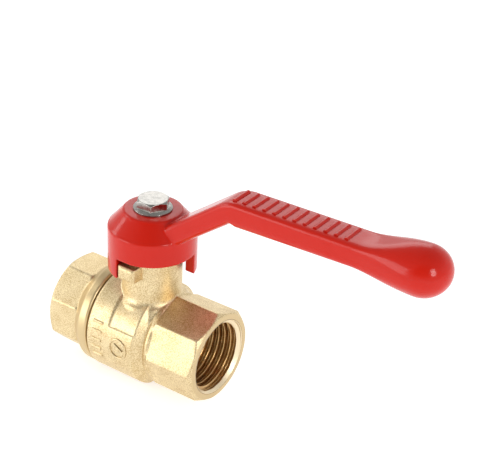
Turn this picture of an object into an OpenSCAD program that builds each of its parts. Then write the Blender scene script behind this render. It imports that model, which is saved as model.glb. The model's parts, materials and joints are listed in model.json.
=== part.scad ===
// Lever ball valve with female pipe threads at both ends.
// The flow axis is X, from the inlet face at the origin to the outlet face.
// The stem stands along Z, and the lever points along +X when the valve is open.

/* [Pipe ports] */
// Radius of the port walls, at the crests of the pipe thread
thread_r = 9.3; // [8:0.1:12]
// Depth of each threaded port from its end face
thread_depth = 12; // [10:0.5:15]
// Width of the countersink at each port's mouth
mouth_chamfer = 1.4; // [0.5:0.1:2]
// Wall left between the port's wall and the wrench flats
wrench_wall = 3.2; // [2:0.1:5]
// Height of the turned chamfer on the wrench corners, measured from the flats
corner_cut = 0.2; // [0:0.05:0.5]
// Length of the wrench flats on the inlet end
inlet_flats = 9.3; // [7:0.1:12]
// How far the screwed-in inlet end is turned against the body, in degrees
connector_turn = 22; // [0:1:45]

/* [Ball and seats] */
// Radius of the ball
ball_r = 11.2; // [10.6:0.1:13.5]
// Radius of the waterway through ball, seats and both bodies
port_r = 7; // [5:0.1:8.4]
// Thickness of each seat ring along the flow axis
seat_len = 3.2; // [2.6:0.1:4]
// Distance from the ball's centre to the near face of each seat
seat_near = 6.6; // [6:0.1:8]
// Radial width of each seat ring
seat_width = 3; // [2.4:0.1:4]
// Free space between the ball and its chamber
ball_gap = 0.4; // [0.2:0.05:1]

/* [Brass bodies] */
// Solid web between the inlet port's thread and the inlet seat
inlet_web = 5; // [4:0.1:9]
// Solid web between the outlet port's thread and the outlet seat
outlet_web = 1.4; // [1:0.1:4]
// Wall of the connector's threaded spigot outside the ball chamber
spigot_wall = 0.8; // [0.6:0.1:1.5]
// Length of the connector's threaded spigot
spigot_len = 5; // [4:0.1:8]
// Wall of the body outside the connector's spigot
shell_wall = 2.5; // [2:0.1:4]
// Length of the plain drum next to the joint
drum_len = 7.5; // [4:0.1:9]
// Step down from the drum to the ball chamber
band_step = 0.3; // [0.1:0.05:0.6]

/* [Neck and stem] */
// Radius of the neck
neck_r = 8.2; // [8:0.1:10]
// Radius of the stem's shank
stem_r = 4; // [3.5:0.1:4.4]
// Radius of the stem's shoulder
shoulder_r = 5.5; // [5:0.1:6]
// Thickness of the stem's shoulder
shoulder_h = 2; // [1.5:0.1:3]
// Thickness of the tang that turns the ball
tang_w = 4; // [3:0.1:5]
// Length of the tang across the ball
tang_len = 9; // [7:0.1:10]
// Depth of the slot in the ball
slot_depth = 3; // [2:0.1:3.4]
// Thickness of the thrust washer
washer_h = 0.8; // [0.5:0.1:1.5]
// Height of the solid collar between the thrust washer and the packing
collar_h = 2.6; // [2:0.1:5]
// Outside radius of the packing rings
packing_r = 6.2; // [5.8:0.1:7]
// Height of one packing ring
packing_h = 2.2; // [1.5:0.1:3]
// Length of the gland nut's threaded part
gland_len = 7.4; // [4:0.1:8]
// Width across the flats of the gland nut
gland_flats = 13; // [12:0.5:15]
// Thickness of the gland nut's hexagon
gland_hex_h = 3; // [2:0.1:4]
// Width of the square that carries the lever
square_w = 5.6; // [5:0.1:6]

/* [Stop] */
// Half the width of the stop lug
lug_half = 2.8; // [1.6:0.1:3.2]
// Height of the stop lug where it leaves the neck
lug_h = 4.2; // [3:0.1:7]
// Clearance between the stop lug and the leg that meets it when the valve is open
stop_gap = 0.15; // [0.1:0.05:0.5]
// Extra play between the stop lug and the other leg when the valve is shut
shut_play = 0.1; // [0:0.05:1.5]

/* [Lever cap] */
// Outside radius of the cap's skirt
cap_r = 12.1; // [11.8:0.1:14]
// Wall of the skirt
skirt_wall = 1.9; // [1.2:0.1:2.4]
// Height of the skirt
skirt_h = 7; // [5:0.1:9]
// Height of the cone above the skirt
cone_h = 4.5; // [3:0.1:6]
// Radius of the flat top
top_r = 7.3; // [6:0.1:9]
// How far the two stop legs reach below the skirt
leg_drop = 6.1; // [4:0.1:7]
// Thickness of the stop legs
leg_wall = 2.8; // [1.9:0.1:3]

/* [Lever arm] */
// Distance from the stem's axis to the tip of the grip
lever_len = 86.5; // [80:1:120]
// Width of the arm
arm_w = 10.2; // [8:0.1:12]
// How much wider the arm is where it leaves the cap
root_flare = 2.8; // [0:0.1:4]
// Thickness of the arm
arm_t = 6; // [4:0.1:7]
// Slope of the rising part of the arm, in degrees
arm_slope = 37; // [20:1:40]
// Height of the flat part of the arm above the cap's flat top
arm_rise = 12.9; // [10:0.1:16]
// Width of the grip at its widest
grip_w = 14.6; // [11:0.1:18]
// Thickness of the grip at its thickest
grip_t = 12.8; // [8:0.1:14]
// Length of the grip, from where the arm begins to swell
grip_len = 24; // [20:1:40]
// How much the grip's centre line rises above the arm's
grip_lift = 1.2; // [0:0.1:2]
// How much the flat top of the arm climbs between the bend and the grip
arm_climb = 0.8; // [0:0.1:2]
// Extra thickness under the arm just past its bend
belly = 1.5; // [0:0.1:2]
// Number of raised ribs on top of the arm
rib_count = 12; // [3:1:14]
// Height of the raised ribs
rib_h = 0.4; // [0.2:0.1:0.8]

/* [Lever bolt] */
// Radius of the bolt's shank
bolt_r = 2.5; // [2:0.1:2.6]
// Length of the bolt's shank
bolt_len = 11; // [8:0.5:12]
// Width across the flats of the bolt's head
head_flats = 8; // [7:0.1:9]
// Height of the hexagon above the flange
head_h = 2.2; // [1.5:0.1:5]
// Radius of the bolt's flange
flange_r = 5.25; // [5:0.1:6.5]
// Thickness of the bolt's flange
flange_h = 0.8; // [0.8:0.1:1.5]

/* [Hidden] */
$fn = 96;

// clearances
thread_gap = 0.05;
seat_gap = 0.05;
ball_fit = 0.06;
stem_fit = 0.06;
square_fit = 0.05;
slot_fit = 0.1;

// along the flow axis
seat_far = seat_near + seat_len;
inlet_run = seat_far + inlet_web + thread_depth;
outlet_run = seat_far + outlet_web + thread_depth;
stem_x = inlet_run;
body_len = inlet_run + outlet_run;
flats = 2 * (thread_r + wrench_wall);
corner_r = flats / 2 / cos(22.5);
chamber_r = ball_r + ball_gap;
seat_r = port_r + seat_width;
spigot_r = chamber_r + spigot_wall;
shell_r = spigot_r + shell_wall;
spigot_tip = stem_x - seat_near - 0.2;
joint_x = spigot_tip - spigot_len;
band_x = joint_x + drum_len;
outlet_flats_x = stem_x + seat_far - 1.6;
shell_end = outlet_flats_x - 3.7;
pad_top = 22.5;
valley_r = max(seat_r + 1.9, flats / 2 - 0.2);
collar_r = corner_r - 0.6;

// along the stem
shoulder_z = ball_r + 0.6;
washer_z = shoulder_z + shoulder_h;
neck_bore_z = washer_z + washer_h;
packing_z = neck_bore_z + collar_h;
gland_z = packing_z + 2 * packing_h;
neck_top = gland_z + gland_len;
gland_top = neck_top + gland_hex_h;
hub_z = gland_top + 0.4;
skirt_z = neck_top - 2.6;
rim_z = skirt_z + skirt_h;
cap_top = max(rim_z + cone_h, hub_z + 4);

square_top = cap_top - 0.6;
flare_r = 2.4;
flare_z = ball_r + 2.5;
lug_top = skirt_z - 1.7;
lug_r = cap_r - 0.2;
lug_drop = 0.4;
lug_round = 0.7;
open_edge = lug_half + stop_gap;
shut_edge = open_edge + shut_play;
bore_bottom = cap_top - bolt_len - 0.6;

// the arm: a rising straight, a bend of radius bend_r, and a level straight
bend_r = 7;
arm_level = cap_top + arm_rise - arm_t / 2;
root_x = 4;
root_z = cap_top - 7.6;
root_len = 14;
bend_len = bend_r * arm_slope * PI / 180;
bend_dx = bend_r * sin(arm_slope);
bend_dz = bend_r * (1 - cos(arm_slope));
slope_len = (arm_level - root_z - bend_dz) / sin(arm_slope);
bend_x = root_x + slope_len * cos(arm_slope);
level_x = bend_x + bend_dx;
level_len = lever_len - level_x;
arm_path = slope_len + bend_len + level_len;
swell_at = arm_path - grip_len;
widest_at = arm_path - 7;

module on_x(at) translate([at, 0, 0]) rotate([0, 90, 0]) children();

module on_stem(z) translate([stem_x, 0, z]) children();

// A solid of revolution about the flow axis from [radius, x] points
module turned(points) on_x(0) rotate_extrude() polygon(points);

// A solid of revolution about the stem from [radius, z] points
module turned_up(points) on_stem(0) rotate_extrude() polygon(points);

module tube(r_out, r_in, h) difference() {
    cylinder(r = r_out, h = h);
    translate([0, 0, -1]) cylinder(r = r_in, h = h + 2);
}

// Eight wrench flats between x0 and x1 with their corners turned back at both ends
module wrench_end(x0, x1, cut0, cut1) intersection() {
    on_x(x0) cylinder(r = corner_r, h = x1 - x0, $fn = 8);
    turned([[0, x0], [flats / 2 - corner_cut, x0], [corner_r + 0.1, x0 + cut0],
            [corner_r + 0.1, x1 - cut1], [flats / 2 - corner_cut, x1], [0, x1]]);
}

// Threaded port: its wall and its countersunk mouth, opening towards the face at x
module port(face, inward) {
    bottom = face + inward * thread_depth;
    mouth = face + inward * mouth_chamfer;
    out = face - inward * 1;
    turned([[0, bottom], [thread_r, bottom], [thread_r, mouth],
            [thread_r + mouth_chamfer, face], [thread_r + mouth_chamfer, out], [0, out]]);
}

module waterway() on_x(-5) cylinder(r = port_r, h = body_len + 10);

// Chamber, outlet seat pocket, stem bore and the thread that takes the end connector
module chamber() {
    on_x(joint_x - 1) cylinder(r = spigot_r + thread_gap, h = spigot_len + 1.2);
    on_x(joint_x) cylinder(r = chamber_r, h = stem_x - joint_x);
    translate([stem_x, 0, 0]) sphere(r = chamber_r);
    on_x(stem_x) cylinder(r = seat_r + seat_gap, h = seat_far);
    on_stem(0) cylinder(r = shoulder_r + 0.3, h = neck_bore_z);
    on_stem(0) cylinder(r = stem_r + 0.2, h = neck_top);
    on_stem(packing_z) cylinder(r = packing_r + thread_gap, h = neck_top);
}

// Lug that stops the lever: it stands out of the neck towards -Y on a sloping underside
module stop_lug() on_stem(lug_top - lug_h) intersection() {
    linear_extrude(lug_h) polygon([[-lug_half, 0], [-lug_half, lug_round - lug_r],
        [lug_round - lug_half, -lug_r], [lug_half - lug_round, -lug_r],
        [lug_half, lug_round - lug_r], [lug_half, 0]]);
    rotate([90, 0, 90]) translate([0, 0, -lug_half]) linear_extrude(2 * lug_half)
        polygon([[0, 0], [-neck_r, 0], [lug_round - lug_r, lug_drop - lug_round / 2],
                 [-lug_r, lug_drop + lug_round / 2], [-lug_r, lug_h - lug_round],
                 [lug_round - lug_r, lug_h], [0, lug_h]]);
}

// Foot of the neck: a concave flare that runs out into the body
module neck_foot() {
    arc = [for (a = [0:15:60])
        [neck_r + flare_r * (1 - cos(a)), flare_z - flare_r * sin(a)]];
    turned_up(concat([[0, flare_z]], arc,
        [[neck_r + 2.9, flare_z - 4.8], [neck_r + 3.6, flare_z - 8], [0, flare_z - 8]]));
}

// Raised pad on the lower front of the body, for cast marks
module pad() intersection() {
    on_x(band_x - 0.5) tube(shell_r, shell_r - 1, shell_end - band_x + 0.5);
    translate([band_x - 1, 0, 0]) rotate([-pad_top, 0, 0])
        translate([0, -2 * shell_r, -2 * shell_r]) cube([shell_end, 2 * shell_r, 2 * shell_r]);
}

module body() color("goldenrod") difference() {
    union() {
        turned([[0, joint_x], [shell_r - 1, joint_x], [shell_r, joint_x + 0.9],
                [shell_r, band_x], [shell_r - band_step, band_x + band_step],
                [shell_r - band_step, shell_end], [valley_r, outlet_flats_x - 1.8],
                [collar_r, outlet_flats_x - 1], [collar_r, outlet_flats_x], [0, outlet_flats_x]]);
        pad();
        neck_foot();
        wrench_end(outlet_flats_x - 0.6, body_len, 1, 1.1);
        turned_up([[0, 0], [neck_r, 0], [neck_r, neck_top - 0.5], [neck_r - 0.5, neck_top], [0, neck_top]]);
        stop_lug();
    }
    chamber();
    waterway();
    port(body_len, -1);
}

module end_connector() color("goldenrod") difference() {
    union() {
        rotate([connector_turn, 0, 0]) wrench_end(0, inlet_flats + 1.2, 1.1, 1);
        turned([[0, inlet_flats - 1.2], [flats / 2 - 0.3, inlet_flats - 1.2],
                [flats / 2, inlet_flats], [shell_r - 0.2, inlet_flats + 3],
                [shell_r - 0.2, joint_x - 0.4], [shell_r - 0.6, joint_x], [0, joint_x]]);
        turned([[0, joint_x - 1], [spigot_r, joint_x - 1], [spigot_r, spigot_tip - 0.5],
                [spigot_r - 0.5, spigot_tip], [0, spigot_tip]]);
    }
    on_x(stem_x - seat_far) cylinder(r = seat_r + seat_gap, h = seat_far);
    translate([stem_x, 0, 0]) sphere(r = chamber_r);
    waterway();
    port(0, 1);
}

module ball() color("silver") difference() {
    translate([stem_x, 0, 0]) sphere(r = ball_r);
    on_x(stem_x - 20) cylinder(r = port_r, h = 40);
    on_stem(ball_r - slot_depth) translate([0, 0, 5])
        cube([tang_len + 30, tang_w + 2 * slot_fit, 10], center = true);
}

// Ring that seals against the ball, with a face that follows it
module seat(near, away) difference() {
    on_x(min(near, near + away * seat_len)) tube(seat_r, port_r + 0.2, seat_len);
    translate([stem_x, 0, 0]) sphere(r = ball_r + ball_fit);
}

module inlet_seat() color("white") seat(stem_x - seat_near, -1);

module outlet_seat() color("white") seat(stem_x + seat_near, 1);

module stem() color("khaki") difference() {
    union() {
        on_stem(ball_r - slot_depth + 0.3) translate([-tang_len / 2, -tang_w / 2, 0])
            cube([tang_len, tang_w, shoulder_z - ball_r + slot_depth + 0.1]);
        turned_up([[0, shoulder_z], [shoulder_r, shoulder_z], [shoulder_r, washer_z],
                   [stem_r, washer_z], [stem_r, hub_z], [0, hub_z]]);
        on_stem(hub_z - 0.5) translate([-square_w / 2, -square_w / 2, 0])
            cube([square_w, square_w, square_top - hub_z + 0.5]);
    }
    on_stem(bore_bottom) cylinder(r = bolt_r + thread_gap, h = square_top);
}

module thrust_washer() color("white") on_stem(washer_z)
    tube(shoulder_r, stem_r + stem_fit, washer_h);

module packing_ring() tube(packing_r, stem_r + stem_fit, packing_h);

module lower_packing() color("white") on_stem(packing_z) packing_ring();

module upper_packing() color("white") on_stem(packing_z + packing_h) packing_ring();

module gland_nut() color("goldenrod") on_stem(gland_z) difference() {
    union() {
        cylinder(r = packing_r, h = gland_len);
        translate([0, 0, gland_len]) intersection() {
            cylinder(r = gland_flats / 2 / cos(30), h = gland_hex_h, $fn = 6);
            rotate_extrude() polygon([[0, 0], [gland_flats, 0], [gland_flats, gland_hex_h - 1],
                [gland_flats / 2 + 0.6, gland_hex_h - 0.5], [gland_flats / 2 - 0.1, gland_hex_h],
                [0, gland_hex_h]]);
        }
    }
    translate([0, 0, -1]) cylinder(r = stem_r + stem_fit, h = gland_len + gland_hex_h + 2);
}

// Point and slope of the arm's centre line at a distance along it
function arm_at(s) =
    s < slope_len ? [root_x + s * cos(arm_slope), root_z + s * sin(arm_slope), arm_slope]
    : s < slope_len + bend_len
        ? let (a = arm_slope * (1 - (s - slope_len) / bend_len))
          [bend_x + bend_r * (sin(arm_slope) - sin(a)),
           arm_level - bend_r * (1 - cos(a)), a]
    : [level_x + s - slope_len - bend_len, arm_level, 0];

function ease(t) = let (u = min(1, max(0, t))) u * u * (3 - 2 * u);

// How far the arm has swelled into the grip, from 0 to 1, and how it closes at the tip
function swell(s) = ease((s - swell_at) / (widest_at - swell_at));
function closing(s) = s < widest_at ? 1
    : sqrt(max(0.004, 1 - pow((s - widest_at) / (arm_path - widest_at), 2)));
function signed_pow(v, e) = sign(v) * pow(abs(v), e);

// Share of the way from the bend to the grip, from 0 to 1
function along(s) = min(1, max(0, (s - slope_len) / (swell_at - slope_len)));

// Extra thickness under the arm: it comes in at the bend and fades out before the grip
function under(s) = belly * ease((s - slope_len) / 4) * (1 - along(s));

// Extra thickness above the arm: it climbs towards the grip and melts into its swelling
function over(s) = arm_climb * along(s) * (1 - swell(s));

// One ring of the arm: a rounded rectangle that turns into an oval at the grip
RING = 24;
function arm_ring(s) =
    let (p = arm_at(s), k = swell(s), c = closing(s),
         root = root_flare * pow(max(0, 1 - s / root_len), 2),
         w = (arm_w + root + (grip_w - arm_w) * k) / 2 * c,
         t = (arm_t + (grip_t - arm_t) * k) / 2 * c)
    [for (i = [0:RING - 1]) let (a = 360 * i / RING, e = (a > 180 ? 0.6 : 0.3),
         power = e + (1 - e) * k, y = w * signed_pow(cos(a), power),
         n = (t + (a > 180 ? under(s) : over(s))) * signed_pow(sin(a), power) + grip_lift * k)
        [stem_x + p[0] - n * sin(p[2]), y, p[1] + n * cos(p[2])]];

arm_steps = concat([for (i = [0:6]) root_len * i / 6], [slope_len], [for (i = [1:6]) slope_len + bend_len * i / 6],
    [for (i = [0:14]) swell_at + (widest_at - swell_at) * i / 14],
    [for (i = [1:7]) widest_at + (arm_path - widest_at) * sin(90 * i / 7)]);

module arm() {
    rings = len(arm_steps);
    polyhedron(points = [for (s = arm_steps) each arm_ring(s)],
        faces = concat([[for (i = [0:RING - 1]) i]],
            [for (j = [0:rings - 2], i = [0:RING - 1]) let (a = j * RING, b = (i + 1) % RING)
                each [[a + i, a + RING + i, a + RING + b], [a + i, a + RING + b, a + b]]],
            [[for (i = [RING - 1:-1:0]) (rings - 1) * RING + i]]));
}

// Raised cross ribs on the flat part of the arm
rib_w = 1.3;
rib_len = arm_w - 4.6;
module ribs() {
    first = -1.6;
    pitch = (level_len - grip_len - 2.3 - first) / (rib_count - 1);
    for (at = [for (i = [0:rib_count - 1]) first + i * pitch])
        translate([stem_x + level_x + at, 0,
                   arm_level + arm_t / 2 + over(slope_len + bend_len + at) - 0.5])
            linear_extrude(rib_h + 0.5) union() {
                square([rib_w, rib_len], center = true);
                for (y = [-1, 1]) translate([0, y * rib_len / 2]) circle(d = rib_w, $fn = 32);
            }
}

// Two legs below the skirt: one meets the lug when the valve is open, the other when it is shut
module stop_legs() on_stem(skirt_z - leg_drop) intersection() {
    tube(cap_r, cap_r - leg_wall, leg_drop + 1);
    union() {
        translate([open_edge, shut_edge, 0]) cube(2 * cap_r);
        rotate(180) translate([open_edge, open_edge, 0]) cube(2 * cap_r);
    }
}

// Skirt, cone and flat top of the cap
module cap_shell() turned_up([[0, skirt_z], [cap_r, skirt_z], [cap_r, rim_z - 0.5], [cap_r - 0.4, rim_z],
    [top_r + 0.9, cap_top - 0.5], [top_r, cap_top], [0, cap_top]]);

// Hollow of the cap: it clears the gland nut and leaves a hub for the stem's square
module cap_hollow() {
    inner_r = cap_r - skirt_wall;
    turned_up([[0, 0], [inner_r, 0], [inner_r, hub_z - 1.5], [inner_r - 1.5, hub_z], [0, hub_z]]);
}

module handle() color("firebrick") difference() {
    union() {
        difference() {
            union() {
                cap_shell();
                arm();
            }
            cap_hollow();
        }
        stop_legs();
        ribs();
    }
    on_stem(hub_z - 1) translate([0, 0, 10])
        cube([square_w + 2 * square_fit, square_w + 2 * square_fit, 30], center = true);
    on_stem(cap_top) cylinder(r = flange_r + 1, h = cap_top);
}

module handle_bolt() color("lightgray") on_stem(cap_top) {
    translate([0, 0, -bolt_len]) cylinder(r = bolt_r, h = bolt_len + flange_h);
    rotate_extrude() polygon([[0, 0], [flange_r, 0], [flange_r, flange_h * 0.5],
        [head_flats / 2 + 0.4, flange_h + 0.1], [0, flange_h + 0.1]]);
    intersection() {
        cylinder(r = head_flats / 2 / cos(30), h = flange_h + head_h, $fn = 6);
        rotate_extrude() polygon([[0, 0], [head_flats, 0], [head_flats, head_h],
            [head_flats / 2 + 0.6, flange_h + head_h - 0.5],
            [head_flats / 2 - 0.1, flange_h + head_h], [0, flange_h + head_h]]);
    }
}

body();
end_connector();
ball();
inlet_seat();
outlet_seat();
stem();
thrust_washer();
lower_packing();
upper_packing();
gland_nut();
handle();
handle_bolt();
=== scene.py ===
"""Looks of a lever ball valve: forged brass, pipe threads, an enamelled lever, a plated bolt.

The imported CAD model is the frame. Pieces are placed from its nodes and ride on its bodies.
All is in metres, unless a docstring says otherwise.
"""

from __future__ import annotations

import json
import logging
from dataclasses import dataclass, field
from enum import Enum
from math import asin, copysign, cos, pi, radians, sin, sqrt
from typing import Any, Callable, Mapping, Sequence

import bmesh
import bpy
from mathutils import Matrix, Vector

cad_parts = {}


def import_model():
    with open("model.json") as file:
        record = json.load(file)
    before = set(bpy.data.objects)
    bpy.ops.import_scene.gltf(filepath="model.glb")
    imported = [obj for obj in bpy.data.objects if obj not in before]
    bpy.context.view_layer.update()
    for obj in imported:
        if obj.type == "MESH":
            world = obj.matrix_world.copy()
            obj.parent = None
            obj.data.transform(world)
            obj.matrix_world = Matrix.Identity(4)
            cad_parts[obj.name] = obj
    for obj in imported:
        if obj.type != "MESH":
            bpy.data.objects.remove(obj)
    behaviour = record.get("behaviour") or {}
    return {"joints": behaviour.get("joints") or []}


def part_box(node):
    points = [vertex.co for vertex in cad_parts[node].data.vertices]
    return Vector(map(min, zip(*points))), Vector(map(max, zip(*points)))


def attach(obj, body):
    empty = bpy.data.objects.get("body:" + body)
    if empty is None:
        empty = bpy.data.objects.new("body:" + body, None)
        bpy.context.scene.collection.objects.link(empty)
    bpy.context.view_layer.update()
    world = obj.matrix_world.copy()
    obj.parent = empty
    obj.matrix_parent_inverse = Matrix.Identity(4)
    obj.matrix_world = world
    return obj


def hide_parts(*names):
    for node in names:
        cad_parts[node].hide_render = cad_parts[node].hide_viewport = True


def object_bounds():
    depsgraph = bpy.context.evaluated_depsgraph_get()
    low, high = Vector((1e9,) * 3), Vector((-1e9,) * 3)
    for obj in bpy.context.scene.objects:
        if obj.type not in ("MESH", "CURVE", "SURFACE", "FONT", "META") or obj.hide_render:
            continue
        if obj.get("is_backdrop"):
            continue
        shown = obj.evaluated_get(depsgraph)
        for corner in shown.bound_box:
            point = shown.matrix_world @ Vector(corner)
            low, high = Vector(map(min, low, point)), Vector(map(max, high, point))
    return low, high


LOG = logging.getLogger("valve")
MM = 0.001
TAU = 2 * pi

MOST_TRIANGLES = 180000
# Height and brightness of the sweep round the set, from below to overhead
SWEEP = ((0.0, 0.85), (0.5, 0.85), (0.68, 0.82), (0.8, 0.55), (0.92, 0.45), (1.0, 0.36))

Colour = tuple[float, float, float]
Point2 = tuple[float, float]
Point3 = tuple[float, float, float]
Place = Callable[[float, float, float], Point3]
Obj = bpy.types.Object
Mesh = bpy.types.Mesh
Material = bpy.types.Material


# ---- Node trees ----


def maths(operation: str, reflected: bool = False) -> Callable[..., Wire]:
    """Make a method that adds one Math node.

    Args:
        operation: The node's operation.
        reflected: Whether the wire comes after the other value.

    Returns:
        The method.
    """

    def method(wire: Wire, *others: Any) -> Wire:
        """Output of a Math node for the wire and the other values."""
        values = (*others, wire) if reflected else (wire, *others)
        return wire.kit.out("ShaderNodeMath", 0, {"operation": operation}, dict(enumerate(values)))

    return method


class Wire:
    """A socket of a node tree that adds Math nodes when it is used in an expression."""

    __add__ = __radd__ = maths("ADD")
    __mul__ = __rmul__ = maths("MULTIPLY")
    __sub__, __rsub__ = maths("SUBTRACT"), maths("SUBTRACT", reflected=True)
    __truediv__, __gt__ = maths("DIVIDE"), maths("GREATER_THAN")
    __abs__, root = maths("ABSOLUTE"), maths("SQRT")
    sin, cos, fraction = maths("SINE"), maths("COSINE"), maths("FRACT")
    lower, higher = maths("MINIMUM"), maths("MAXIMUM")

    def __init__(self, kit: NodeKit, socket: bpy.types.NodeSocket) -> None:
        """Start from an output socket of a tree."""
        self.kit = kit
        self.socket = socket

    def step(self, low: float, high: float) -> Wire:
        """Rise smoothly from 0 to 1.

        Args:
            low: Where the rise starts.
            high: Where it ends. It may be below low, which makes a fall.

        Returns:
            The mask.
        """
        if high < low:
            return 1 - self.step(high, low)
        sockets = {"Value": self, "From Min": low, "From Max": high}
        settings = {"interpolation_type": "SMOOTHSTEP"}
        return self.kit.out("ShaderNodeMapRange", "Result", settings, sockets)

    def blend(self, other: Any, mask: Any) -> Wire:
        """Go from this value to another where the mask is 1."""
        return self * (1 - mask) + other * mask


class NodeKit:
    """Builder of one node tree."""

    def __init__(self, tree: bpy.types.NodeTree) -> None:
        """Take the tree that the nodes go into."""
        self.tree = tree

    def add(
        self,
        kind: str,
        settings: Mapping[str, Any] | None = None,
        sockets: Mapping[Any, Any] | None = None,
    ) -> bpy.types.Node:
        """Add a node.

        Args:
            kind: The node's type.
            settings: Its properties, set first. "stops" are a colour ramp's stops.
            sockets: Numbers, colours or wires by input name or number.

        Returns:
            The node.
        """
        node = self.tree.nodes.new(kind)
        for name, value in (settings or {}).items():
            if name == "stops":
                self._stops(node, value)
            else:
                setattr(node, name, value)
        for name, value in (sockets or {}).items():
            socket = node.inputs[name]
            if isinstance(value, Wire):
                self.tree.links.new(value.socket, socket)
            else:
                socket.default_value = value
        return node

    @staticmethod
    def _stops(node: bpy.types.Node, stops: Sequence[tuple[float, float]]) -> None:
        """Set a ramp's grey stops.

        Args:
            node: The colour ramp.
            stops: Position and brightness of each stop, in order.
        """
        elements = node.color_ramp.elements
        while len(elements) < len(stops):
            elements.new(1.0)
        for element, (place, grey) in zip(elements, stops):
            element.position = place
            element.color = (grey, grey, grey, 1)

    def out(self, kind: str, output: str | int, settings: Any = None, sockets: Any = None) -> Wire:
        """Add a node and take one of its outputs."""
        return Wire(self, self.add(kind, settings, sockets).outputs[output])

    def split(self, vector: Wire) -> tuple[Wire, ...]:
        """The three parts of a vector."""
        node = self.add("ShaderNodeSeparateXYZ", None, {0: vector})
        return tuple(Wire(self, output) for output in node.outputs)

    def mix(self, low: Any, high: Any, mask: Any) -> Wire:
        """Mix two colours.

        Args:
            low: Colour, or wire, where the mask is 0.
            high: Colour, or wire, where the mask is 1.
            mask: Number or wire.

        Returns:
            The mixed colour.
        """
        node = self.add("ShaderNodeMix", {"data_type": "RGBA"}, {0: mask})
        for place, value in ((6, low), (7, high)):
            if isinstance(value, Wire):
                self.tree.links.new(value.socket, node.inputs[place])
            else:
                node.inputs[place].default_value = (*value, 1)
        return Wire(self, node.outputs[2])


def spaced(sockets: Mapping[str, Any]) -> dict[str, Any]:
    """The same sockets, with spaces in their names for underscores."""
    return {name.replace("_", " "): value for name, value in sockets.items()}


class Surface(NodeKit):
    """Builder of one material's tree on the Principled shader."""

    def __init__(self, name: str) -> None:
        """Make a named material with an empty tree."""
        self.material = bpy.data.materials.new(name)
        self.material.use_nodes = True
        super().__init__(self.material.node_tree)
        self.tree.nodes.clear()
        self.place = self.out("ShaderNodeTexCoord", "Object")

    def noise(self, size: float, detail: float, roughness: float) -> Wire:
        """Cloudy noise about 0.5 with patches of a size in metres."""
        sockets = {"Scale": 1 / size, "Detail": detail, "Roughness": roughness}
        return self.out("ShaderNodeTexNoise", "Fac", None, {"Vector": self.place, **sockets})

    def cells(self, size: float) -> Wire:
        """Distance to the middle of scattered cells of a size in metres."""
        sockets = {"Vector": self.place, "Scale": 1 / size}
        return self.out("ShaderNodeTexVoronoi", "Distance", None, sockets)

    def rounded(self, radius: float) -> Wire:
        """Normal with the edges rounded to a radius in metres."""
        return self.out("ShaderNodeBevel", 0, {"samples": 6}, {"Radius": radius})

    def edges(self, radius: float) -> Wire:
        """Mask of the edges.

        Args:
            radius: How far the mask reaches from an edge, in metres.

        Returns:
            0 on the flats, rising towards the edges.
        """
        flat = self.out("ShaderNodeNewGeometry", "Normal")
        bent = self.rounded(radius)
        settings = {"operation": "DOT_PRODUCT"}
        dot = self.out("ShaderNodeVectorMath", "Value", settings, {0: flat, 1: bent})
        return (1 - dot).step(0.005, 0.16)

    def hollows(self, reach: float) -> Wire:
        """1 in the open, falling towards 0 in corners within a reach in metres."""
        return self.out("ShaderNodeAmbientOcclusion", "AO", {"samples": 8}, {"Distance": reach})

    def bump(self, height: Wire, depth: float, normal: Wire | None = None) -> Wire:
        """Relief.

        Args:
            height: Height from 0 to 1.
            depth: Depth of the relief in metres.
            normal: Normal that the relief is laid on.

        Returns:
            The bent normal.
        """
        sockets: dict[str, Any] = {"Height": height, "Distance": depth, "Strength": 1.0}
        if normal:
            sockets["Normal"] = normal
        return self.out("ShaderNodeBump", 0, None, sockets)

    def finish(self, **sockets: Any) -> Material:
        """Close the tree.

        Args:
            **sockets: Principled inputs, with spaces in their names as underscores.

        Returns:
            The material.
        """
        shader = self.out("ShaderNodeBsdfPrincipled", 0, None, spaced(sockets))
        self.add("ShaderNodeOutputMaterial", None, {"Surface": shader})
        return self.material


# ---- Finishes ----


class Turned(Enum):
    """Which way the tool marks of a turned zone run."""

    ALONG = "along"
    ACROSS = "across"


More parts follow.
